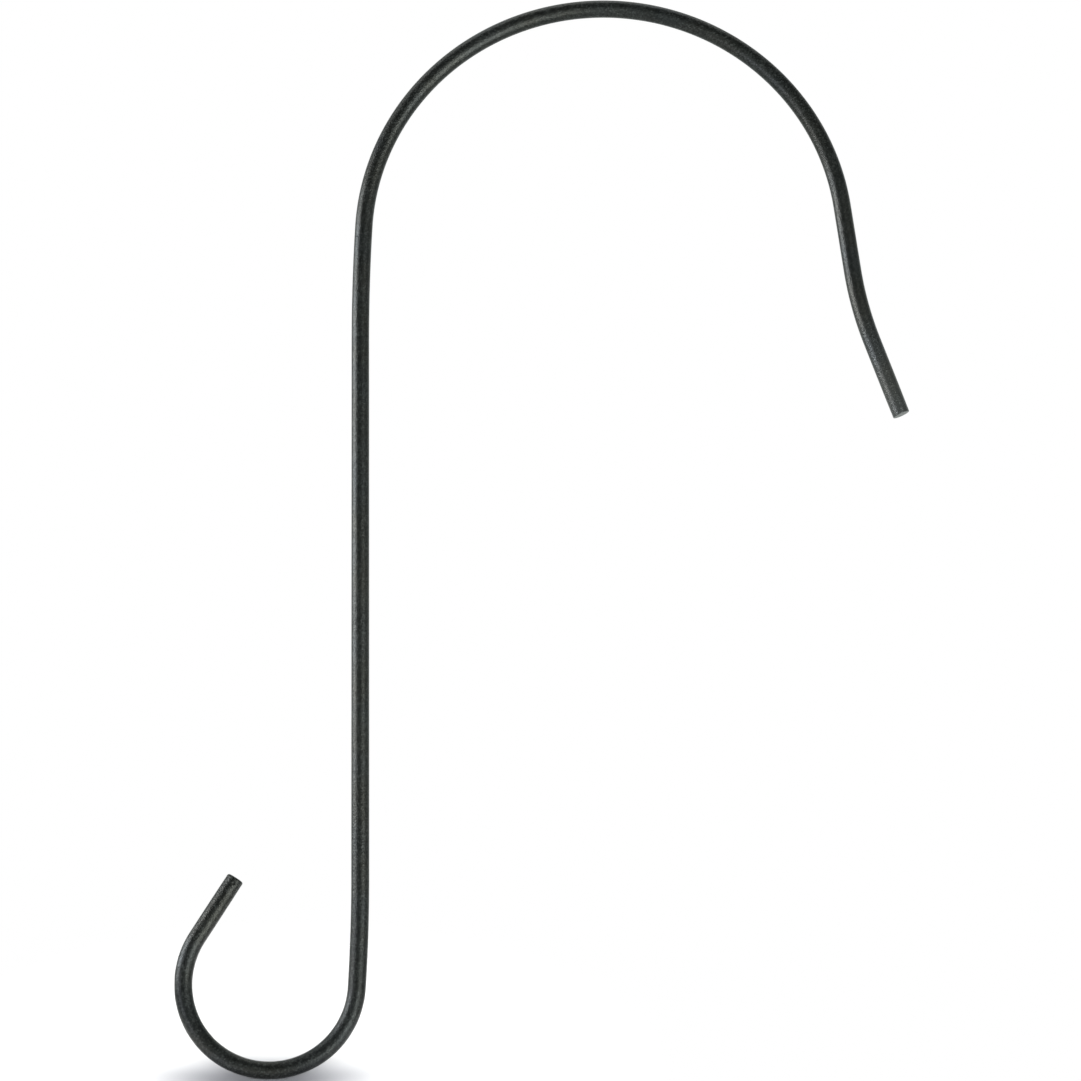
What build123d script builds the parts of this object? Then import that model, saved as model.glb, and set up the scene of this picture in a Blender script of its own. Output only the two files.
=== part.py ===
from build123d import *
import os

# Bird feeder hook: one length of round steel rod, bent in one plane and coated all over.
# Millimetres. +Z is up as the hook hangs, +X runs from the stem towards the outer leg of the arch.
# The origin is the inside crown of the arch, where the rod rests on a branch.

# The rod, measured over its coat
ROD_DIAMETER = 4.75
END_ROUNDING = 0.4

# Straight lengths, in order from the lower tip to the upper tip
LOWER_TIP = 19.0
STEM = 151.0
OUTER_LEG = 19.0
UPPER_TIP = 22.6

# Bends in the same order: radius to the rod's centre line, then the angle turned through, in degrees
BOWL_RADIUS = 23.5
BOWL_ANGLE = 209.2
LOWER_EASING_RADIUS = 477.0
LOWER_EASING_ANGLE = 3.6
UPPER_EASING_RADIUS = 566.0
UPPER_EASING_ANGLE = 3.35
ARCH_RADIUS = 67.75
ARCH_ANGLE = 169.2
FLARE_RADIUS = 99.0
FLARE_ANGLE = 12.25

# The stem stands upright, so the way the lower tip points follows from the two bends before the stem
LOWER_TIP_HEADING = 90 - LOWER_EASING_ANGLE - BOWL_ANGLE

# Centre line of the rod. A positive angle bends it to the left of its travel and a negative one to the right.
with BuildLine(Plane.XZ) as centre_line:
    lower_tip = PolarLine((0, 0), LOWER_TIP, LOWER_TIP_HEADING)
    bowl = JernArc(lower_tip @ 1, lower_tip % 1, BOWL_RADIUS, BOWL_ANGLE)
    lower_easing = JernArc(bowl @ 1, bowl % 1, LOWER_EASING_RADIUS, LOWER_EASING_ANGLE)
    stem = Line(lower_easing @ 1, (lower_easing @ 1) + (lower_easing % 1) * STEM)
    upper_easing = JernArc(stem @ 1, stem % 1, UPPER_EASING_RADIUS, -UPPER_EASING_ANGLE)
    arch = JernArc(upper_easing @ 1, upper_easing % 1, ARCH_RADIUS, -ARCH_ANGLE)
    outer_leg = Line(arch @ 1, (arch @ 1) + (arch % 1) * OUTER_LEG)
    flare = JernArc(outer_leg @ 1, outer_leg % 1, FLARE_RADIUS, FLARE_ANGLE)
    upper_tip = Line(flare @ 1, (flare @ 1) + (flare % 1) * UPPER_TIP)

# The round rod follows the centre line, and its coat rounds the edges of both square-cut ends
section = Plane(origin=lower_tip @ 0, z_dir=lower_tip % 0) * Circle(ROD_DIAMETER / 2)
rod = sweep(section, path=centre_line.line)
cut_edges = rod.faces().filter_by(GeomType.PLANE).edges()
rod = fillet(cut_edges, END_ROUNDING)

# Moved so that the inside crown of the arch is the origin
crown = arch.arc_center + Vector(0, 0, ARCH_RADIUS - ROD_DIAMETER / 2)
hook_rod = Pos(-crown) * rod

os.makedirs("parts", exist_ok=True)
export_step(hook_rod, "parts/hook_rod.step")

# Sizes that the record states
feeder_seat = bowl.arc_center - crown - Vector(0, 0, BOWL_RADIUS - ROD_DIAMETER / 2)
box = hook_rod.bounding_box()
print("size", box.size, "from", box.min, "to", box.max)
print("solids", len(hook_rod.solids()), "valid", hook_rod.is_valid, "volume", round(hook_rod.volume, 1))
print("rod length", round(sum(edge.length for edge in centre_line.edges()), 1), "feeder seat", feeder_seat)
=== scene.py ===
import logging
import math
from collections.abc import Iterator
from dataclasses import dataclass, field
from enum import Enum

import bmesh
import bpy
from mathutils import Matrix, Vector, noise


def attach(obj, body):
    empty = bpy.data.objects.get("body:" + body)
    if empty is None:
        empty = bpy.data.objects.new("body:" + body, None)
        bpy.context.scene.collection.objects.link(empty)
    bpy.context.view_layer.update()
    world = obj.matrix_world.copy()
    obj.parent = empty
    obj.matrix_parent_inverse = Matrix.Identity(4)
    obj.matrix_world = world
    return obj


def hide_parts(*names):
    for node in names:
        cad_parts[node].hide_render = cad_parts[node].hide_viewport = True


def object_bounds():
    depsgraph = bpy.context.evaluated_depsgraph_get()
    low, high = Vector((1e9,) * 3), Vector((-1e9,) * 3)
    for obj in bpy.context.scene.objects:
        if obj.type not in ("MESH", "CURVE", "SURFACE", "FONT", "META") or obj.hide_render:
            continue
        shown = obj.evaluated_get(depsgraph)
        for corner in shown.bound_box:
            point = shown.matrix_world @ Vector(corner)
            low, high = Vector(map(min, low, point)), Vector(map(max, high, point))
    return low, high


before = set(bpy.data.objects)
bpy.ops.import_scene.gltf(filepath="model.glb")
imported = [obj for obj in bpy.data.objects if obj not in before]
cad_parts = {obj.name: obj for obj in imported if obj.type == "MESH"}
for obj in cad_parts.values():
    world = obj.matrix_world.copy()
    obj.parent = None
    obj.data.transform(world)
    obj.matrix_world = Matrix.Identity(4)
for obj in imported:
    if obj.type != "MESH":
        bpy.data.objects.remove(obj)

CAD_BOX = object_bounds()
MM = 0.001
FULL_TURN = 2 * math.pi
BODY = "root"
ROD_NODE = "hook_rod"
TONE_LAYER = "tone"
WHITE = (1.0, 1.0, 1.0, 1.0)

log = logging.getLogger("bird_feeder_hook")


class Turn(Enum):
    """The side that a bend turns to as the rod is followed from its lower tip, seen from the front."""

    LEFT = 1
    RIGHT = -1


@dataclass(frozen=True)
class Station:
    """A place on the rod's centre line.

    Attributes:
        place: The point, in the row frame.
        along: The way the rod runs there, a unit vector.
        side: The unit vector to the left of that way, in the plane of the hook.
    """

    place: Vector
    along: Vector
    side: Vector


@dataclass(frozen=True)
class Stretch:
    """A straight or evenly bent length of rod.

    Attributes:
        length: Length of the centre line.
        curvature: Angle turned to the left for each metre, and 0 for a straight length.
    """

    length: float
    curvature: float = 0.0

    @classmethod
    def bend(cls, radius: float, degrees: float, turn: Turn) -> "Stretch":
        """A bend.

        Args:
            radius: Radius to the centre line.
            degrees: Angle turned through.
            turn: The side that it turns to.

        Returns:
            The bent length of rod.
        """
        return cls(radius * math.radians(degrees), turn.value / radius)

    def end(self, start: Vector, heading: float, distance: float) -> tuple[Vector, float]:
        """Where a point on the stretch lies.

        Args:
            start: Where the stretch begins, in the plane of the hook.
            heading: The way it sets out, in radians from +X towards +Z.
            distance: Distance of the point from the start, along the centre line.

        Returns:
            The point and the heading there.
        """
        ahead = heading + self.curvature * distance
        if self.curvature == 0.0:
            step = Vector((math.cos(heading), math.sin(heading))) * distance
        else:
            across = math.sin(ahead) - math.sin(heading)
            up = math.cos(heading) - math.cos(ahead)
            step = Vector((across, up)) / self.curvature
        return start + step, ahead


@dataclass
class CentreLine:
    """The rod's centre line: stretches joined end to end, each in line with the last.

    Attributes:
        stretches: The stretches, in order from the lower tip.
        heading: The way the first one sets out, in radians from +X towards +Z.
        origin: The point of the plane that becomes the origin of the row frame.
    """

    stretches: list[Stretch]
    heading: float
    origin: Vector = field(default_factory=lambda: Vector((0.0, 0.0)))

    @property
    def length(self) -> float:
        """Length of the whole rod."""
        return sum(stretch.length for stretch in self.stretches)

    def reach(self, count: int, distance: float = 0.0) -> tuple[Vector, float]:
        """The end of the first stretches, or a point past it.

        Args:
            count: How many whole stretches to follow.
            distance: How far to go on into the next one.

        Returns:
            The point in the plane of the hook, and the heading there.
        """
        place, heading = -self.origin, self.heading
        for stretch in self.stretches[:count]:
            place, heading = stretch.end(place, heading, stretch.length)
        if distance:
            place, heading = self.stretches[count].end(place, heading, distance)
        return place, heading

    def station(self, distance: float) -> Station:
        """The place and directions at a distance from the lower tip.

        Args:
            distance: Distance along the centre line. It may lie a little outside the rod's own length.

        Returns:
            The station there.
        """
        count, left = 0, distance
        while count < len(self.stretches) - 1 and left > self.stretches[count].length:
            left -= self.stretches[count].length
            count += 1
        place, heading = self.reach(count, left)
        along = Vector((math.cos(heading), 0.0, math.sin(heading)))
        side = Vector((-math.sin(heading), 0.0, math.cos(heading)))
        return Station(Vector((place.x, 0.0, place.y)), along, side)


@dataclass(frozen=True)
class Blemish:
    """A small round pit or lump in the coat.

    Attributes:
        distance: Distance from the lower tip, along the centre line.
        clock: Angle round the rod from its front, towards the left of its run, in degrees.
        width: Width of the pit or lump.
        height: Height at its middle, below 0 for a pit.
        rim: Height of the lip round it.
        rim_place: Distance of the lip from the middle, in half widths.
        rim_spread: Half the breadth of the lip, in half widths.
        reach: Distance from the middle at which the coat is level again, in half widths.
    """

    distance: float
    clock: float
    width: float
    height: float
    rim: float = 0.0
    rim_place: float = 1.3
    rim_spread: float = 0.45
    reach: float = 3.0

    def lift(self, distance: float, clock: float, radius: float) -> float:
        """How far the blemish raises the coat at a point of the rod.

        Args:
            distance: The point's distance from the lower tip.
            clock: The point's angle round the rod, in radians.
            radius: Radius of the rod.

        Returns:
            The height, below 0 inside a pit.
        """
        turn = (clock - math.radians(self.clock) + math.pi) % FULL_TURN - math.pi
        away = math.hypot(distance - self.distance, turn * radius) / (self.width / 2)
        if away > self.reach:
            return 0.0
        lip = self.rim * math.exp(-((away - self.rim_place) / self.rim_spread) ** 2)
        return self.height * math.exp(-away * away) + lip


@dataclass(frozen=True)
class Tone:
    """How glossy the coat is at a place along the rod, beside its mean.

    Attributes:
        distance: Distance of the place from the lower tip.
        gloss: How many times glossier it is there.
    """

    distance: float
    gloss: float


@dataclass(frozen=True)
class ShaderBench:
    """Adds and joins the nodes of one material or world.

    Attributes:
        tree: The node tree that the nodes go into.
    """

    tree: bpy.types.NodeTree

    def node(self, kind: str, **settings: object) -> bpy.types.Node:
        """Adds a node.

        Args:
            kind: Blender's name for the kind of node.
            **settings: Values for the node's own properties.

        Returns:
            The node.
        """
        made = self.tree.nodes.new(kind)
        for name, value in settings.items():
            setattr(made, name, value)
        return made

    def join(self, value: object, socket: bpy.types.NodeSocket) -> None:
        """Feeds a socket from another socket, or sets it to a plain value.

        Args:
            value: The other socket, or the value.
            socket: The socket to feed or set.
        """
        if isinstance(value, bpy.types.NodeSocket):
            self.tree.links.new(value, socket)
        else:
            socket.default_value = value

    def maths(self, operation: str, first: object, second: object = 0.0) -> bpy.types.NodeSocket:
        """Works out a number from one or two others.

        Args:
            operation: Blender's name for the operation, such as MULTIPLY.
            first: A socket or a number.
            second: A socket or a number, which an operation on one number leaves unread.

        Returns:
            The socket that holds the result.
        """
        step = self.node("ShaderNodeMath", operation=operation)
        self.join(first, step.inputs[0])
        self.join(second, step.inputs[1])
        return step.outputs[0]

    def vector(self, operation: str, first: object, second: object = (0.0, 0.0, 0.0)) -> bpy.types.Node:
        """Adds a node that works on one or two vectors.

        Args:
            operation: Blender's name for the operation, such as DOT_PRODUCT.
            first: A socket or a vector.
            second: A socket or a vector, which an operation on one vector leaves unread.

        Returns:
            The node, whose outputs are Vector and Value.
        """
        step = self.node("ShaderNodeVectorMath", operation=operation)
        self.join(first, step.inputs[0])
        self.join(second, step.inputs[1])
        return step

    def spread(
        self, value: object, low: float, high: float, to_low: float, to_high: float
    ) -> bpy.types.NodeSocket:
        """Stretches a range of numbers smoothly over another.

        Args:
            value: The socket to read.
            low: The number that becomes to_low.
            high: The number that becomes to_high.
            to_low: Result at low and below.
            to_high: Result at high and above.

        Returns:
            The socket that holds the result.
        """
        mapped = self.node("ShaderNodeMapRange", interpolation_type="SMOOTHSTEP")
        self.join(value, mapped.inputs["Value"])
        limits = {"From Min": low, "From Max": high, "To Min": to_low, "To Max": to_high}
        for name, number in limits.items():
            mapped.inputs[name].default_value = number
        return mapped.outputs["Result"]

    def blend(self, share: object, none: object, full: object) -> bpy.types.NodeSocket:
        """Mixes two colours.

        Args:
            share: The socket with the share of the second colour.
            none: Colour at a share of 0, a socket or a value.
            full: Colour at a share of 1, a socket or a value.

        Returns:
            The socket with the mixed colour.
        """
        mix = self.node("ShaderNodeMix", data_type="RGBA")
        for value, name in ((share, "Factor_Float"), (none, "A_Color"), (full, "B_Color")):
            self.join(value, next(socket for socket in mix.inputs if socket.identifier == name))
        return next(socket for socket in mix.outputs if socket.identifier == "Result_Color")

    def noise(self, where: object, size: float, detail: float) -> bpy.types.NodeSocket:
        """Even noise in space.

        Args:
            where: The socket with the point to read it at.
            size: Distance between its peaks.
            detail: Number of finer layers in it, each half as strong as the last.

        Returns:
            The socket with the noise, about 0 to 1.
        """
        cloud = self.node("ShaderNodeTexNoise")
        self.join(where, cloud.inputs["Vector"])
        cloud.inputs["Scale"].default_value = 1 / size
        cloud.inputs["Detail"].default_value = detail
        cloud.inputs["Roughness"].default_value = 0.5
        return cloud.outputs[0]


@dataclass(frozen=True)
class PowderCoat:
    """Black powder coat: a satin skin with a fine texture over a gentle orange peel.

    Attributes:
        name: Name of the material.
        colour: Colour of most of the grains, linear.
        speck_colour: Colour of the palest grains, linear.
        speck_rarity: How rare pale grains are, 1 for a mere even spread.
        speck_share: Paleness of the palest single grain, 1 for speck_colour.
        cloud_share: Paleness that faint clouds add at most, 1 for speck_colour.
        cloud_size: Distance between those clouds, and between patches of other roughness.
        roughness: Mean roughness.
        roughness_spread: How far the roughness strays from its mean.
        grain_roughness: Share of that straying that goes from grain to grain, the rest being in patches.
        roughness_range: Lowest and highest noise that the straying is spread over.
        gloss: Mean gloss.
        gloss_spread: How far the gloss of single grains strays from that mean.
        grain_size: Distance between the grains of the fine texture.
        grain_height: Height of those grains.
        peel_size: Distance between the swells of the orange peel.
        peel_height: Height of those swells.
        painted_tip_light_colour: Colour of the coat close to the upper end, linear: a painted paler coat that
            stands in for the brighter light falling there.
        upper_end_roughness: Mean roughness there.
        tip_light_core: Distance from that end within which the painted light is full.
        tip_light_reach: Distance from that end at which it is gone.
        tip_light_ragged: How far the edge of the painted light strays along the rod.
        tip_light_ragged_size: Distance between the strays of that edge.
        painted_sheen_gloss: How many times glossier the coat is near the upper end: a painted sheen that
            stands in for the brighter light there.
        sheen_specks: Share of the paleness of the specks that is left there.
        sheen_core: Distance from that end within which the sheen is full.
        sheen_reach: Distance from that end at which there is no sheen.
        painted_face_reflection_colour: Colour of the cut faces, linear: a painted reflection that makes them
            paler than the coat.
        face_squareness: How squarely the coat faces along the rod where a cut face begins and is whole.
        face_reach: Distances from the middle of a cut face at which its colour starts to fade and is gone.
        fleck_paleness: Paleness of the pale fleck, 1 for painted_face_reflection_colour.
        fleck_reach: Distances from the middle of that fleck at which it starts to fade and is gone.
        hue_size: Distance between patches of the coat that shine warmer and cooler.
        hue_range: Noise at which the coat is wholly warm and wholly cool.
        warm_tint: Tint of the gloss in the warmer patches.
        cool_tint: Tint of the gloss in the cooler patches.
    """

    name: str = "black_powder_coat"
    colour: tuple[float, float, float] = (0.0026, 0.0034, 0.0031)
    speck_colour: tuple[float, float, float] = (0.040, 0.044, 0.042)
    speck_rarity: float = 4.0
    speck_share: float = 0.85
    cloud_share: float = 0.06
    cloud_size: float = 6.0 * MM
    roughness: float = 0.335
    roughness_spread: float = 0.045
    grain_roughness: float = 0.6
    roughness_range: tuple[float, float] = (0.1, 0.9)
    gloss: float = 0.5
    gloss_spread: float = 0.095
    grain_size: float = 0.42 * MM
    grain_height: float = 0.105 * MM
    peel_size: float = 2.0 * MM
    peel_height: float = 0.04 * MM
    painted_tip_light_colour: tuple[float, float, float] = (0.034, 0.036, 0.035)
    upper_end_roughness: float = 0.33
    tip_light_core: float = 6.0 * MM
    tip_light_reach: float = 38.0 * MM
    tip_light_ragged: float = 8.0 * MM
    tip_light_ragged_size: float = 4.0 * MM
    painted_sheen_gloss: float = 1.7
    sheen_specks: float = 0.65
    sheen_core: float = 12.0 * MM
    sheen_reach: float = 88.0 * MM
    painted_face_reflection_colour: tuple[float, float, float] = (0.115, 0.117, 0.115)
    face_squareness: tuple[float, float] = (0.75, 0.93)
    face_reach: tuple[float, float] = (2.6 * MM, 3.0 * MM)
    fleck_paleness: float = 0.75
    fleck_reach: tuple[float, float] = (0.12 * MM, 0.52 * MM)
    hue_size: float = 13.0 * MM
    hue_range: tuple[float, float] = (0.3, 0.7)
    warm_tint: tuple[float, float, float] = (1.0, 1.0, 0.91)
    cool_tint: tuple[float, float, float] = (0.93, 0.99, 1.0)

    def material(self, ends: list[Station], fleck: Vector) -> bpy.types.Material:
        """Makes the finish.

        Args:
            ends: The two ends of the rod, with a paler coat painted close to the second, standing in for the
                brighter light there.
            fleck: Place of a pale fleck.

        Returns:
            The material.
        """
        made = bpy.data.materials.new(self.name)
        made.use_nodes = True
        made.node_tree.nodes.clear()
        bench = ShaderBench(made.node_tree)
        where = bench.node("ShaderNodeTexCoord").outputs["Object"]
        grain = self.grains(bench, where)
        from_upper_end = self.distance_from(bench, where, ends[1].place)
        # Painted light: the coat is made paler close to the upper end, standing in for the brighter light
        # there.
        tip_light = self.tip_light_share(bench, where, from_upper_end)
        skin = bench.node("ShaderNodeBsdfPrincipled")
        coat = self.coat_colour(bench, where, grain.outputs[0], from_upper_end, tip_light)
        pale = self.pale_share(bench, where, ends, fleck)
        # Painted reflection: the cut faces, and the fleck, are paler than the coat.
        bench.join(bench.blend(pale, coat, (*self.painted_face_reflection_colour, 1.0)), skin.inputs["Base Color"])
        bench.join(self.gloss_tint(bench, where), skin.inputs["Specular Tint"])
        bench.join(self.uneven_roughness(bench, where, grain.outputs[1], tip_light), skin.inputs["Roughness"])
        gloss = self.gloss_level(bench, grain.outputs[2], from_upper_end)
        bench.join(gloss, skin.inputs["Specular IOR Level"])
        bench.join(self.relief(bench, where), skin.inputs["Normal"])
        output = bench.node("ShaderNodeOutputMaterial")
        bench.join(skin.outputs[0], output.inputs["Surface"])
        return made

    def grains(self, bench: ShaderBench, where: object) -> bpy.types.Node:
        """Splits the coat into grains.

        Args:
            bench: The bench of the coat's material.
            where: The socket with the point of the coat.

        Returns:
            A node whose three outputs are chance numbers from 0 to 1, the same all over a grain.
        """
        cells = bench.node("ShaderNodeTexVoronoi")
        bench.join(where, cells.inputs["Vector"])
        cells.inputs["Scale"].default_value = 1 / self.grain_size
        split = bench.node("ShaderNodeSeparateColor")
        bench.join(cells.outputs["Color"], split.inputs[0])
        return split

    def coat_colour(
        self, bench: ShaderBench, where: object, grain: object, from_upper_end: object, tip_light: object
    ) -> bpy.types.NodeSocket:
        """The coat's colour: a few grains paler than the rest, faint clouds, and painted paler close to the
        upper end, standing in for the brighter light there.

        Args:
            bench: The bench of the coat's material.
            where: The socket with the point of the coat.
            grain: The socket with the chance number of each grain.
            from_upper_end: The socket with the distance from the rod's upper end.
            tip_light: The socket with the share of painted light close to the upper end.

        Returns:
            The socket with the colour.
        """
        # Fewer pale specks where the painted sheen is, close to the upper end.
        kept = bench.spread(from_upper_end, self.sheen_core, self.sheen_reach, self.sheen_specks, 1.0)
        clouds = bench.noise(where, self.cloud_size, detail=3.0)
        speck = bench.maths("POWER", bench.maths("MULTIPLY", grain, kept), self.speck_rarity)
        specks = bench.maths("MULTIPLY", speck, self.speck_share)
        share = bench.maths("ADD", specks, bench.maths("MULTIPLY", clouds, self.cloud_share))
        mottled = bench.blend(share, (*self.colour, 1.0), (*self.speck_colour, 1.0))
        # Painted light: paler coat close to the upper end.
        return bench.blend(tip_light, mottled, (*self.painted_tip_light_colour, 1.0))

    def pale_share(
        self, bench: ShaderBench, where: object, ends: list[Station], fleck: Vector
    ) -> bpy.types.NodeSocket:
        """Share of the pale colour: the painted reflection on the cut faces, and the pale fleck.

        Args:
            bench: The bench of the coat's material.
            where: The socket with the point of the coat.
            ends: The two ends of the rod.
            fleck: Place of the fleck.

        Returns:
            The socket with the share.
        """
        away = self.distance_from(bench, where, fleck)
        pale = bench.spread(away, *self.fleck_reach, self.fleck_paleness, 0.0)
        for end in ends:
            pale = bench.maths("MAXIMUM", pale, self.cut_face(bench, where, end))
        return pale

    def cut_face(self, bench: ShaderBench, where: object, end: Station) -> bpy.types.NodeSocket:
        """Finds the cut face of an end, which takes the painted reflection.

        Args:
            bench: The bench of the coat's material.
            where: The socket with the point of the coat.
            end: The end of the rod.

        Returns:
            The socket with its share: 1 close to the end wherever the coat faces along the rod, else 0.
        """
        normal = bench.node("ShaderNodeNewGeometry").outputs["Normal"]
        run = bench.maths("ABSOLUTE", bench.vector("DOT_PRODUCT", normal, end.along).outputs["Value"])
        squarely = bench.spread(run, *self.face_squareness, 0.0, 1.0)
        near = bench.spread(self.distance_from(bench, where, end.place), *self.face_reach, 1.0, 0.0)
        return bench.maths("MULTIPLY", squarely, near)

    def distance_from(self, bench: ShaderBench, where: object, place: Vector) -> bpy.types.NodeSocket:
        """Straight distance of each point of the coat from a place."""
        return bench.vector("DISTANCE", where, place).outputs["Value"]

    def tip_light_share(self, bench: ShaderBench, where: object, from_upper_end: object) -> bpy.types.NodeSocket:
        """Finds where the coat is painted paler, standing in for the brighter light close to the upper end.

        Args:
            bench: The bench of the coat's material.
            where: The socket with the point of the coat.
            from_upper_end: The socket with the distance from the rod's upper end.

        Returns:
            The socket with its share: 1 at the upper end, fading unevenly along the rod.
        """
        stray = bench.noise(where, self.tip_light_ragged_size, detail=3.0)
        ragged = bench.maths("ADD", from_upper_end, bench.maths("MULTIPLY", stray, self.tip_light_ragged))
        return bench.spread(ragged, self.tip_light_core, self.tip_light_reach, 1.0, 0.0)

    def gloss_tint(self, bench: ShaderBench, where: object) -> bpy.types.NodeSocket:
        """Tint of the gloss, a little warmer in some patches and cooler in others."""
        hue = bench.spread(bench.noise(where, self.hue_size, detail=1.0), *self.hue_range, 0.0, 1.0)
        return bench.blend(hue, (*self.warm_tint, 1.0), (*self.cool_tint, 1.0))

    def gloss_level(self, bench: ShaderBench, grain: object, from_upper_end: object) -> bpy.types.NodeSocket:
        """Gloss that strays from grain to grain, follows the tones of the rod and grows close to the upper
        end, in a painted sheen that stands in for the brighter light there.

        Args:
            bench: The bench of the coat's material.
            grain: The socket with the chance number of each grain.
            from_upper_end: The socket with the distance from the rod's upper end.

        Returns:
            The socket with the gloss.
        """
        uneven = bench.spread(grain, 0.0, 1.0, self.gloss - self.gloss_spread, self.gloss + self.gloss_spread)
        # Painted sheen: glossier close to the upper end, standing in for the brighter light there.
        painted_sheen = bench.spread(from_upper_end, self.sheen_core, self.sheen_reach, self.painted_sheen_gloss, 1.0)
        tone = bench.node("ShaderNodeAttribute", attribute_name=TONE_LAYER).outputs["Fac"]
        return bench.maths("MULTIPLY", bench.maths("MULTIPLY", uneven, painted_sheen), tone)

    def uneven_roughness(
        self, bench: ShaderBench, where: object, grain: object, tip_light: object
    ) -> bpy.types.NodeSocket:
        """Roughness that strays from its mean, from grain to grain and slowly along the rod.

        Args:
            bench: The bench of the coat's material.
            where: The socket with the point of the coat.
            grain: The socket with the chance number of each grain.
            tip_light: The socket with the share of painted light close to the upper end, which also sets the
                roughness there.

        Returns:
            The socket with the roughness.
        """
        patches = bench.noise(where, self.cloud_size, detail=2.0)
        by_grain = bench.maths("MULTIPLY", grain, self.grain_roughness)
        by_patch = bench.maths("MULTIPLY", patches, 1 - self.grain_roughness)
        limits = (self.roughness - self.roughness_spread, self.roughness + self.roughness_spread)
        uneven = bench.spread(bench.maths("ADD", by_grain, by_patch), *self.roughness_range, *limits)
        extra = bench.maths("MULTIPLY", tip_light, self.upper_end_roughness - self.roughness)
        return bench.maths("ADD", uneven, extra)

    def relief(self, bench: ShaderBench, where: object) -> bpy.types.NodeSocket:
        """Raises the orange peel and, on it, the grains.

        Args:
            bench: The bench of the coat's material.
            where: The socket with the point of the coat.

        Returns:
            The socket with the way that the uneven coat faces.
        """
        swell = bench.node("ShaderNodeBump")
        bench.join(bench.noise(where, self.peel_size, detail=1.0), swell.inputs["Height"])
        swell.inputs["Distance"].default_value = self.peel_height
        bumps = bench.node("ShaderNodeBump")
        bench.join(bench.noise(where, self.grain_size, detail=1.0), bumps.inputs["Height"])
        bumps.inputs["Distance"].default_value = self.grain_height
        bench.join(swell.outputs["Normal"], bumps.inputs["Normal"])
        return bumps.outputs["Normal"]


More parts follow.
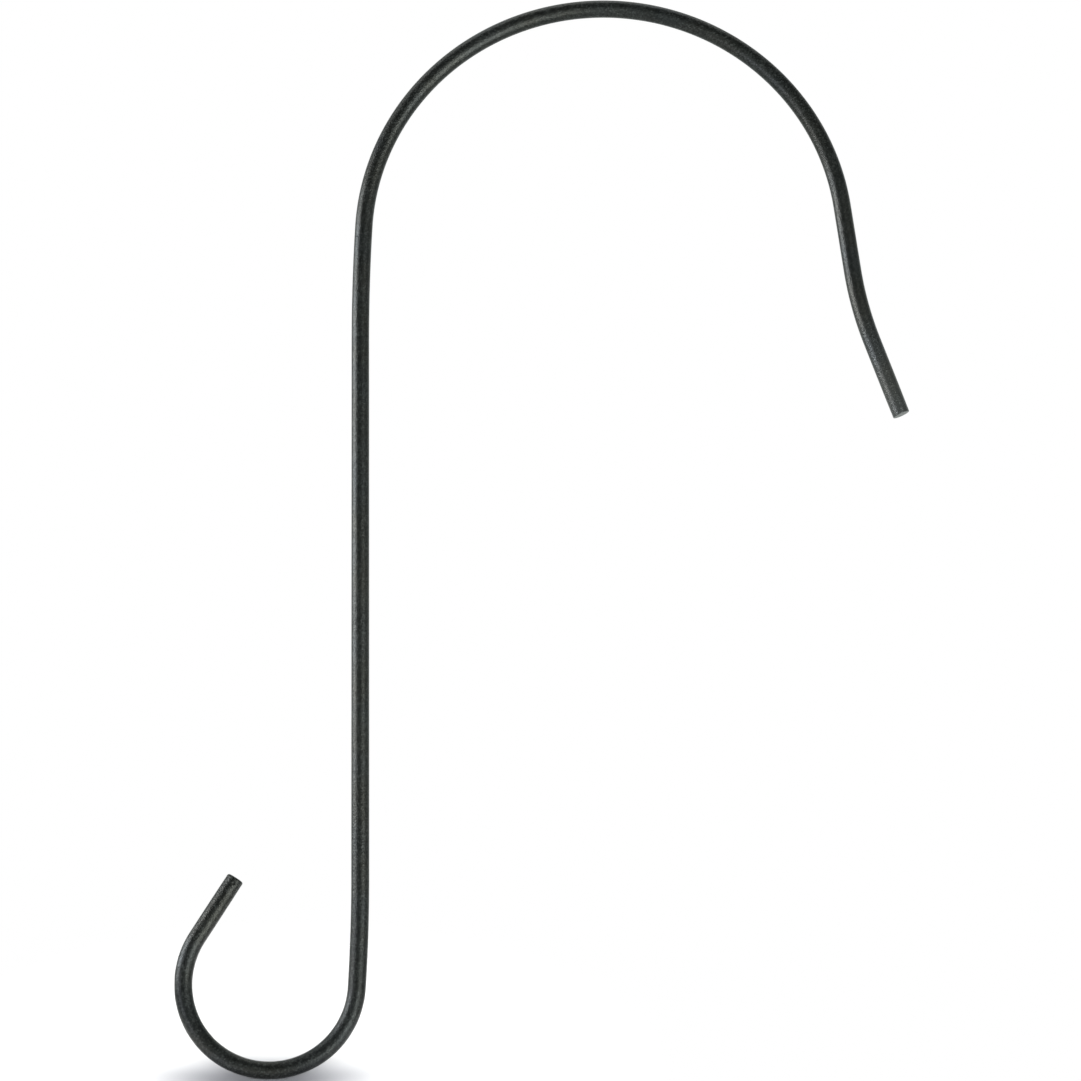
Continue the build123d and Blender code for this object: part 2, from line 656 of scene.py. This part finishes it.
@dataclass
class HookRod:
    """The whole hook: one round rod, bent in one plane, with square-cut ends, coated all over.

    Attributes:
        diameter: Diameter of the rod with its coat.
        lower_rounding: Radius that the coat gives the edge of the lower cut end.
        upper_rounding: The same at the upper cut end.
        upper_slant: Degrees by which the upper end is cut out of square, in the plane of the hook.
        slant_zone: Length of rod over which the mesh takes up that slant.
        lower_tip: Length of the straight lower tip.
        bowl_radius: Radius of the bowl to the centre line, as all radii of bends are.
        bowl_degrees: Angle that the bowl turns through.
        lower_easing_radius: Radius of the slight bend between the bowl and the stem.
        lower_easing_degrees: Angle that it turns through.
        stem: Length of the straight stem.
        upper_easing_radius: Radius of the slight bend between the stem and the arch.
        upper_easing_degrees: Angle that it turns through.
        arch_radius: Radius of the arch.
        arch_degrees: Angle that the arch turns through.
        outer_leg: Length of the straight outer leg.
        flare_radius: Radius of the bend that turns the upper tip outwards.
        flare_degrees: Angle that it turns through.
        upper_tip: Length of the straight upper tip.
        sides: Number of faces round the rod.
        ring_gap: Distance between the rings of the mesh along the rod.
        tip_ring_gap: The same close to a tip, where the coat has small marks.
        tip_zone: Length of that finer mesh.
        edge_steps: Number of faces over the rounded edge of an end.
        face_shares: Radii of the mesh's rings on a cut face, as shares of the face's radius.
        face_dish: How far the middle of a cut face lies below its edge.
        swell_size: Distance between the broad swells of the coat.
        narrow_swell: Distance between its narrow swells, as a share of that.
        swell_height: Height of the swells.
        end_thinning: How much thinner the coat is at the ends.
        thin_reach: Distance from an end within which it thins.
        width_share: Width of the coated rod in the plane of the hook, as a share of its diameter.
        bowl_raise: How much higher the bowl's lowest point lies than a true arc.
        bowl_raise_reach: Distance from it within which the rod is raised, and as wide as its diameter.
        tones: The coat's gloss along the rod.
        search_steps: Number of steps along the rod in the search for its lowest point.
    """

    diameter: float = 4.75 * MM
    lower_rounding: float = 0.55 * MM
    upper_rounding: float = 0.2 * MM
    upper_slant: float = 3.5
    slant_zone: float = 3.0 * MM
    lower_tip: float = 19.0 * MM
    bowl_radius: float = 23.5 * MM
    bowl_degrees: float = 209.2
    lower_easing_radius: float = 477.0 * MM
    lower_easing_degrees: float = 3.6
    stem: float = 151.0 * MM
    upper_easing_radius: float = 566.0 * MM
    upper_easing_degrees: float = 3.35
    arch_radius: float = 67.75 * MM
    arch_degrees: float = 169.2
    outer_leg: float = 19.0 * MM
    flare_radius: float = 99.0 * MM
    flare_degrees: float = 12.25
    upper_tip: float = 22.6 * MM
    sides: int = 72
    ring_gap: float = 0.56 * MM
    tip_ring_gap: float = 0.14 * MM
    tip_zone: float = 4.0 * MM
    edge_steps: int = 6
    face_shares: tuple[float, ...] = (0.92, 0.8, 0.6, 0.4, 0.2)
    face_dish: float = 0.03 * MM
    swell_size: float = 7.0 * MM
    narrow_swell: float = 0.4
    swell_height: float = 0.018 * MM
    end_thinning: float = 0.045 * MM
    thin_reach: float = 5.0 * MM
    width_share: float = 1.038
    bowl_raise: float = 0.10 * MM
    bowl_raise_reach: float = 11.0 * MM
    tones: tuple[Tone, ...] = (
        Tone(5.0 * MM, 0.9),
        Tone(22.0 * MM, 1.0),
        Tone(37.0 * MM, 0.8),
        Tone(53.0 * MM, 1.1),
        Tone(78.0 * MM, 0.95),
        Tone(103.0 * MM, 0.85),
        Tone(130.0 * MM, 1.0),
        Tone(205.0 * MM, 1.15),
        Tone(260.0 * MM, 1.0),
        Tone(347.0 * MM, 1.0),
        Tone(362.0 * MM, 1.2),
        Tone(422.0 * MM, 1.2),
        Tone(440.0 * MM, 1.05),
        Tone(483.0 * MM, 1.2),
        Tone(509.0 * MM, 1.1),
        Tone(538.0 * MM, 0.8),
        Tone(556.0 * MM, 1.2),
    )
    search_steps: int = 400

    @property
    def radius(self) -> float:
        """Radius of the rod with its coat."""
        return self.diameter / 2

    @property
    def heading(self) -> float:
        """The way the lower tip sets out, in radians, so that the stem stands upright."""
        return math.radians(90 - self.lower_easing_degrees - self.bowl_degrees)

    @property
    def lowest_distance(self) -> float:
        """Distance of the bowl's lowest point from the lower tip, where the rod runs level."""
        return self.lower_tip - self.bowl_radius * self.heading

    def centre_line(self) -> CentreLine:
        """The centre line, with the inside crown of the arch at the origin.

        Returns:
            The line from the lower tip to the upper tip.
        """
        bowl = Stretch.bend(self.bowl_radius, self.bowl_degrees, Turn.LEFT)
        lower_easing = Stretch.bend(self.lower_easing_radius, self.lower_easing_degrees, Turn.LEFT)
        upper_easing = Stretch.bend(self.upper_easing_radius, self.upper_easing_degrees, Turn.RIGHT)
        arch = Stretch.bend(self.arch_radius, self.arch_degrees, Turn.RIGHT)
        flare = Stretch.bend(self.flare_radius, self.flare_degrees, Turn.LEFT)
        stretches = [Stretch(self.lower_tip), bowl, lower_easing, Stretch(self.stem), upper_easing, arch]
        stretches += [Stretch(self.outer_leg), flare, Stretch(self.upper_tip)]
        line = CentreLine(stretches, self.heading)
        arch_start, arch_heading = line.reach(stretches.index(arch))
        to_middle = Vector((math.sin(arch_heading), -math.cos(arch_heading))) * self.arch_radius
        line.origin = arch_start + to_middle + Vector((0.0, self.arch_radius - self.radius))
        return line

    def lowest_place(self, line: CentreLine) -> Vector:
        """The lowest of evenly spaced points of the centre line."""
        distances = [step / self.search_steps * line.length for step in range(self.search_steps + 1)]
        return min((line.station(distance).place for distance in distances), key=lambda place: place.z)

    def marks(self, line: CentreLine) -> list[Blemish]:
        """The coat's small marks.

        Args:
            line: The rod's centre line.

        Returns:
            A pit close to the lower tip and a lump close to the upper one.
        """
        pit = Blemish(distance=1.65 * MM, clock=14.0, width=0.7 * MM, height=-0.30 * MM, rim=0.04 * MM)
        lump = Blemish(distance=line.length - 1.3 * MM, clock=8.0, width=0.8 * MM, height=0.05 * MM)
        return [pit, lump]

    def ring_places(self, length: float) -> Iterator[float]:
        """Where the mesh's rings go, closer together near both tips.

        Args:
            length: Length of the rod.

        Yields:
            The distance of each ring from the lower tip.
        """
        distance = self.lower_rounding
        while distance < length - self.upper_rounding:
            yield distance
            from_tip = min(distance, length - distance)
            share = min(max((from_tip - self.tip_zone) / self.tip_zone, 0.0), 1.0)
            distance += self.tip_ring_gap + (self.ring_gap - self.tip_ring_gap) * share
        yield length - self.upper_rounding

    def end_profile(self, rounding: float) -> list[tuple[float, float]]:
        """The rounded edge and the cut face of an end, as pairs: depth below the end and radius.

        Args:
            rounding: Radius of the rounded edge.

        Returns:
            The pairs, from the side of the rod to the middle of its end.
        """
        profile = []
        for step in range(1, self.edge_steps + 1):
            angle = step / self.edge_steps * math.pi / 2
            depth = rounding * (1 - math.sin(angle))
            profile.append((depth, self.radius - rounding * (1 - math.cos(angle))))
        face = self.radius - rounding
        for share in self.face_shares:
            profile.append((self.face_dish * (1 - share * share), face * share))
        return profile

    def coat_dip(self, place: Vector) -> float:
        """How much thinner the coat is at a point than at its thickest, in gentle uneven swells.

        Args:
            place: The point, in the row frame.

        Returns:
            The difference of thickness.
        """
        broad = noise.noise(place / self.swell_size)
        narrow = noise.noise(place / (self.narrow_swell * self.swell_size) + Vector((9.0, 0.0, 0.0)))
        return self.swell_height * (0.5 + 0.35 * broad + 0.15 * narrow)

    def point(
        self, line: CentreLine, marks: list[Blemish], distance: float, clock: float, radius: float
    ) -> Vector:
        """A point of the coat's surface.

        Args:
            line: The rod's centre line.
            marks: Marks in the coat.
            distance: Distance of the point from the lower tip.
            clock: Angle round the rod from its front, towards the left of its run, in radians.
            radius: Distance from the centre line before the coat's unevenness.

        Returns:
            The point, in the row frame.
        """
        station = line.station(distance)
        near_lowest = math.exp(-((distance - self.lowest_distance) / self.bowl_raise_reach) ** 2)
        width_share = self.width_share + (1 - self.width_share) * near_lowest
        outward = station.side * math.sin(clock) * width_share + Vector((0.0, -math.cos(clock), 0.0))
        flat = station.place + station.side * self.bowl_raise * near_lowest + outward * radius
        share = radius / self.radius
        on_side = share == 1.0
        raised = sum(mark.lift(distance, clock, self.radius) for mark in marks) if on_side else 0.0
        from_end = min(distance, line.length - distance)
        thinned = self.end_thinning * math.exp(-(from_end / self.thin_reach) ** 2)
        slant = math.tan(math.radians(self.upper_slant)) * math.sin(clock) * radius
        slanted = slant * min(max(1 - (line.length - distance) / self.slant_zone, 0.0), 1.0)
        return flat + outward * (raised - (self.coat_dip(flat) + thinned) * share) - station.along * slanted

    def tone(self, distance: float) -> float:
        """The coat's gloss at a place along the rod, beside its mean.

        Args:
            distance: Distance of the place from the lower tip.

        Returns:
            How many times glossier it is there, evenly changed from one tone to the next.
        """
        before, after = self.tones[0], self.tones[-1]
        for low, high in zip(self.tones, self.tones[1:]):
            if low.distance <= distance <= high.distance:
                before, after = low, high
        share = (distance - before.distance) / (after.distance - before.distance)
        share = min(max(share, 0.0), 1.0)
        return before.gloss + (after.gloss - before.gloss) * share

    def build(self) -> bpy.types.Object:
        """Builds the rod's mesh.

        Returns:
            The rod, linked to the scene.
        """
        line = self.centre_line()
        marks = self.marks(line)
        rings = list(reversed(self.end_profile(self.lower_rounding)))
        rings += [(distance, self.radius) for distance in self.ring_places(line.length)]
        rings += [(line.length - depth, radius) for depth, radius in self.end_profile(self.upper_rounding)]
        shape = bmesh.new()
        layer = shape.verts.layers.float.new(TONE_LAYER)
        clocks = [FULL_TURN * side / self.sides for side in range(self.sides)]
        loops = []
        for distance, radius in rings:
            loop = [shape.verts.new(self.point(line, marks, distance, clock, radius)) for clock in clocks]
            for vert in loop:
                vert[layer] = self.tone(distance)
            loops.append(loop)
        for loop, after in zip(loops, loops[1:]):
            for side in range(self.sides):
                beside = (side + 1) % self.sides
                shape.faces.new((loop[side], loop[beside], after[beside], after[side]))
        for loop, order in ((loops[0], -1), (loops[-1], 1)):
            hub = shape.verts.new(sum((vert.co for vert in loop), Vector()) / self.sides)
            hub[layer] = loop[0][layer]
            for side in range(self.sides):
                corners = (hub, loop[side], loop[(side + 1) % self.sides])
                shape.faces.new(corners[::order])
        self.keep_within(shape, *CAD_BOX)
        bmesh.ops.recalc_face_normals(shape, faces=shape.faces)
        mesh = bpy.data.meshes.new("coated_rod")
        shape.to_mesh(mesh)
        shape.free()
        mesh.shade_smooth()
        rod = bpy.data.objects.new("coated_rod", mesh)
        bpy.context.scene.collection.objects.link(rod)
        return rod

    def keep_within(self, shape: bmesh.types.BMesh, low: Vector, high: Vector) -> None:
        """Takes off the little of the coat, some hundredths of a millimetre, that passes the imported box.

        Args:
            shape: The rod's mesh.
            low: Lowest corner of the box.
            high: Highest corner of the box.
        """
        for vert in shape.verts:
            vert.co = [min(max(value, least), most) for value, least, most in zip(vert.co, low, high)]

    def dress(self, rod: bpy.types.Object, coat: PowderCoat) -> None:
        """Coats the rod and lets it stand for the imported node.

        Args:
            rod: The rod's object.
            coat: Its finish.
        """
        line = self.centre_line()
        lump = self.marks(line)[-1]
        fleck = self.point(line, [], lump.distance, math.radians(lump.clock), self.radius)
        ends = [line.station(0.0), line.station(line.length)]
        rod.data.materials.append(coat.material(ends, fleck))
        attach(rod, BODY)
        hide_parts(ROD_NODE)


@dataclass(frozen=True)
class Softbox:
    """A soft lamp that faces the hook.

    Attributes:
        name: Name of the lamp.
        azimuth: Degrees round the hook, 0 in front and 90 on its right.
        elevation: Degrees above the level of the hook's middle.
        distance: Distance from the hook's middle.
        width: Width of its face.
        height: Height of its face.
        brightness: Brightness of its face, beside 1 for plain white.
        tint: Colour of its light.
    """

    name: str
    azimuth: float
    elevation: float
    distance: float
    width: float
    height: float
    brightness: float
    tint: tuple[float, float, float] = (1.0, 1.0, 1.0)

    def build(self, target: Vector, lit: bpy.types.Collection) -> bpy.types.Object:
        """Makes the lamp.

        Args:
            target: The point that it faces.
            lit: The only things that it lights.

        Returns:
            The lamp's object.
        """
        lamp = bpy.data.lights.new(self.name, "AREA")
        lamp.shape = "RECTANGLE"
        lamp.size = self.width
        lamp.size_y = self.height
        lamp.energy = self.brightness * math.pi * self.width * self.height
        lamp.color = self.tint
        made = bpy.data.objects.new(self.name, lamp)
        azimuth = math.radians(self.azimuth)
        elevation = math.radians(self.elevation)
        level = Vector((math.sin(azimuth), -math.cos(azimuth), 0.0)) * math.cos(elevation)
        back = level + Vector((0.0, 0.0, math.sin(elevation)))
        made.location = target + back * self.distance
        made.rotation_euler = (-back).to_track_quat("-Z", "Y").to_euler()
        made.visible_camera = False
        made.light_linking.receiver_collection = lit
        bpy.context.scene.collection.objects.link(made)
        return made


@dataclass
class Studio:
    """The pale floor, with a soft shade painted into it under the hook, the soft light and the white room
    round the hook.

    Attributes:
        foot: The lowest point of the rod's centre line.
        rod_radius: Radius of the rod.
        slope: Degrees by which the floor falls towards the front.
        floor_sides: Number of corners of the floor's edge.
        floor_radius: Radius at which the floor has faded away into the white room.
        floor_clear: Radius at which it starts to fade.
        floor_grey: How much light the floor sends back.
        floor_in_gloss: Share of the floor's brightness that the rod's gloss shows.
        shade_depth: Share by which the soft shade painted under the hook darkens the floor's colour.
        shade_width: Reach of that shade to either side.
        shade_reach: Reach of that shade to the front and back.
        shade_shift: How far its middle lies to the left of the foot.
        shade_core: Share of its reach over which it is darkest.
        shade_tint: Colour of the floor where the painted shade is darkest, beside its grey.
        room_up: The way towards the middle of the dark upper room, about a unit vector.
        room_fade: How squarely a ray looks that way where the room starts to darken and is darkest.
        room_dark: Brightness of the room above, in the rod's gloss.
        room_bright: Brightness of the room round and below, in the rod's gloss.
        backdrop_way: The way towards the middle of the backdrop behind the hook, a unit vector.
        backdrop_fade: How squarely a ray looks that way at the backdrop's edge and where it is brightest.
        backdrop: Brightness of the backdrop, in the rod's gloss.
        room_tint: Colour of the room and the backdrop, in the rod's gloss.
        softboxes: The lamps that light the hook.
        floor_softboxes: The lamps that light the floor, past the hook.
    """

    foot: Vector
    rod_radius: float
    slope: float = 30.0
    floor_sides: int = 96
    floor_radius: float = 0.11
    floor_clear: float = 0.05
    floor_grey: float = 0.86
    floor_in_gloss: float = 0.85
    shade_depth: float = 0.72
    shade_width: float = 43.2 * MM
    shade_reach: float = 16.8 * MM
    shade_shift: float = 2.5 * MM
    shade_core: float = 0.13
    shade_tint: tuple[float, float, float] = (0.97, 0.98, 1.05)
    room_up: tuple[float, float, float] = (-0.22, -0.02, 0.975)
    room_fade: tuple[float, float] = (-0.03, 0.37)
    room_dark: float = 0.07
    room_bright: float = 0.42
    backdrop_way: tuple[float, float, float] = (0.05, 0.98, 0.20)
    backdrop_fade: tuple[float, float] = (-0.10, 0.95)
    backdrop: float = 0.8
    room_tint: tuple[float, float, float] = (0.94, 1.0, 0.97)
    softboxes: list[Softbox] = field(default_factory=lambda: [
        Softbox("key_softbox", -80.3, 16.1, 1.3, 1.12, 0.51, 7.4, (0.98, 1.0, 1.03)),
        Softbox("low_softbox", -50.0, -18.7, 1.3, 0.56, 0.83, 1.5, (1.0, 1.0, 1.10)),
        Softbox("front_softbox", 38.2, -21.6, 1.3, 0.85, 1.20, 3.6, (0.96, 1.0, 0.97)),
        Softbox("top_softbox", -84.2, 73.5, 1.3, 0.47, 2.4, 1.48, (0.98, 1.0, 1.0)),
    ])
    floor_softboxes: list[Softbox] = field(default_factory=lambda: [
        Softbox("floor_top_softbox", 0.0, 90.0, 0.6, 1.2, 1.2, 1.3),
        Softbox("floor_front_softbox", 0.0, -8.0, 0.6, 1.2, 0.5, 6.5),
    ])

    def build(self, hook: bpy.types.Object, middle: Vector) -> list[bpy.types.Object]:
        """Sets up the studio.

        Args:
            hook: The object to light.
            middle: Its middle, which the lamps face.

        Returns:
            The objects that the studio is made of.
        """
        self.build_room()
        floor = self.build_floor()
        lamps = [softbox.build(middle, self.only(hook)) for softbox in self.softboxes]
        lamps += [softbox.build(self.foot, self.only(floor)) for softbox in self.floor_softboxes]
        return [floor, *lamps]

    def only(self, lit: bpy.types.Object) -> bpy.types.Collection:
        """Sets one object apart, for a lamp that lights nothing else.

        Args:
            lit: The object.

        Returns:
            A collection that holds it alone.
        """
        made = bpy.data.collections.new(f"lit_{lit.name}")
        made.objects.link(lit)
        return made

    def build_floor(self) -> bpy.types.Object:
        """Makes the floor, which the bowl of the hook just touches.

        Returns:
            The floor's object.
        """
        slope = math.radians(self.slope)
        upward = Vector((0.0, -math.sin(slope), math.cos(slope)))
        shape = bmesh.new()
        bmesh.ops.create_circle(shape, cap_ends=True, radius=self.floor_radius, segments=self.floor_sides)
        mesh = bpy.data.meshes.new("floor")
        shape.to_mesh(mesh)
        shape.free()
        floor = bpy.data.objects.new("floor", mesh)
        touching = Matrix.Translation(self.foot - upward * self.rod_radius)
        floor.matrix_world = touching @ Matrix.Rotation(slope, 4, "X")
        mesh.materials.append(self.floor_paper())
        bpy.context.scene.collection.objects.link(floor)
        return floor

    def floor_paper(self) -> bpy.types.Material:
        """White paper that takes the hook's shadow, with a soft shade painted into its colour under the hook,
        and that can't be seen from below.

        Returns:
            The material.
        """
        made = bpy.data.materials.new("floor_paper")
        made.use_nodes = True
        made.node_tree.nodes.clear()
        bench = ShaderBench(made.node_tree)
        paper = bench.node("ShaderNodeBsdfDiffuse")
        where = bench.node("ShaderNodeTexCoord").outputs["Object"]
        from_foot = self.reach_from_foot(bench, where, 1.0, 1.0)
        faded = bench.spread(from_foot, self.floor_clear, self.floor_radius, 0.0, 1.0)
        # Painted shadow: the paper's colour darkens and turns bluer in a soft patch under the hook, on top of
        # its real shadow.
        shifted = bench.vector("ADD", where, (self.shade_shift, 0.0, 0.0)).outputs["Vector"]
        shade = self.reach_from_foot(bench, shifted, self.shade_width, self.shade_reach)
        darkest = self.floor_grey * (1 - self.shade_depth)
        grey = bench.spread(shade, self.shade_core, 1.0, darkest, self.floor_grey)
        seen = bench.node("ShaderNodeLightPath").outputs["Is Camera Ray"]
        share = bench.spread(seen, 0.0, 1.0, self.floor_in_gloss, 1.0)
        painted_shade_share = bench.spread(shade, self.shade_core, 1.0, 1.0, 0.0)
        tint = bench.blend(painted_shade_share, WHITE, (*self.shade_tint, 1.0))
        shown = bench.vector("MULTIPLY", bench.maths("MULTIPLY", grey, share), tint)
        bench.join(shown.outputs["Vector"], paper.inputs["Color"])
        from_below = bench.node("ShaderNodeNewGeometry").outputs["Backfacing"]
        sheet = bench.node("ShaderNodeMixShader")
        bench.join(bench.maths("MAXIMUM", faded, from_below), sheet.inputs[0])
        bench.join(paper.outputs[0], sheet.inputs[1])
        bench.join(bench.node("ShaderNodeBsdfTransparent").outputs[0], sheet.inputs[2])
        output = bench.node("ShaderNodeOutputMaterial")
        bench.join(sheet.outputs[0], output.inputs["Surface"])
        return made

    def reach_from_foot(
        self, bench: ShaderBench, where: object, width: float, reach: float
    ) -> bpy.types.NodeSocket:
        """Distance from the hook's foot on the floor, measured in widths and reaches.

        Args:
            bench: The bench of the floor's material.
            where: The socket with the point on the floor.
            width: Length that counts as 1 to either side.
            reach: Length that counts as 1 to the front and back.

        Returns:
            The socket with the distance.
        """
        scaled = bench.vector("MULTIPLY", where, (1 / width, 1 / reach, 0.0)).outputs["Vector"]
        return bench.vector("LENGTH", scaled).outputs["Value"]

    def build_room(self) -> None:
        """Makes the white backdrop behind the hook and the dim room in front of it and above."""
        world = bpy.data.worlds.new("studio")
        world.use_nodes = True
        world.node_tree.nodes.clear()
        bench = ShaderBench(world.node_tree)
        above = self.facing(bench, self.room_up)
        behind = self.facing(bench, self.backdrop_way)
        walls = bench.spread(above, *self.room_fade, self.room_bright, self.room_dark)
        backdrop = bench.spread(behind, *self.backdrop_fade, 0.0, self.backdrop)
        room = bench.maths("MAXIMUM", walls, backdrop)
        path = bench.node("ShaderNodeLightPath")
        seen = bench.maths("MAXIMUM", path.outputs["Is Camera Ray"], path.outputs["Is Transmission Ray"])
        light = bench.node("ShaderNodeBackground")
        bench.join(bench.blend(seen, (*self.room_tint, 1.0), WHITE), light.inputs["Color"])
        bench.join(bench.maths("MAXIMUM", room, seen), light.inputs["Strength"])
        output = bench.node("ShaderNodeOutputWorld")
        bench.join(light.outputs[0], output.inputs["Surface"])
        bpy.context.scene.world = world

    def facing(self, bench: ShaderBench, way: tuple[float, float, float]) -> bpy.types.NodeSocket:
        """How squarely a ray of the room looks one way: 1 straight at it, -1 straight away."""
        ray = bench.node("ShaderNodeTexCoord").outputs["Generated"]
        return bench.vector("DOT_PRODUCT", ray, way).outputs["Value"]


@dataclass(frozen=True)
class PhotographCamera:
    """The camera that sees the hook as the photograph does.

    Attributes:
        aim: The point of the hook's plane at the middle of the picture.
        distance: Distance of the camera from that point.
        rise: Degrees by which the camera looks up at the hook.
        roll: Degrees by which the camera is turned clockwise about the hook's plane.
        picture: Width of the picture in pixels.
        focal: Focal length in pixels.
        sensor: Width of the sensor in millimetres.
    """

    aim: tuple[float, float, float] = (-18.71 * MM, 0.0, -152.16 * MM)
    distance: float = 1109.4 * MM
    rise: float = 11.879
    roll: float = 0.516
    picture: int = 1081
    focal: float = 4006.0
    sensor: float = 36.0

    def build(self) -> bpy.types.Object:
        """Makes the camera and gives it to the scene.

        Returns:
            The camera's object.
        """
        lens = bpy.data.cameras.new("photograph_camera")
        lens.sensor_width = self.sensor
        lens.lens = self.sensor * self.focal / self.picture
        made = bpy.data.objects.new("photograph_camera", lens)
        back = Matrix.Translation((0.0, 0.0, self.distance))
        risen = Matrix.Rotation(math.radians(90 + self.rise), 4, "X")
        rolled = Matrix.Rotation(math.radians(self.roll), 4, "Y")
        made.matrix_world = Matrix.Translation(self.aim) @ rolled @ risen @ back
        bpy.context.scene.collection.objects.link(made)
        bpy.context.scene.camera = made
        return made


def main() -> None:
    """Builds the hook and its studio."""
    logging.basicConfig(level=logging.INFO, format="%(name)s: %(message)s")
    hook = HookRod()
    rod = hook.build()
    hook.dress(rod, PowderCoat())
    line = hook.centre_line()
    log.info("%s: %d faces, rod length %.1f mm", rod.name, len(rod.data.polygons), line.length / MM)
    low, high = CAD_BOX
    for made in Studio(hook.lowest_place(line), hook.radius).build(rod, (low + high) / 2):
        log.info("%s set up", made.name)
    log.info("%s placed", PhotographCamera().build().name)
    bpy.context.scene.view_settings.view_transform = "Standard"


if __name__ == "__main__":
    main()
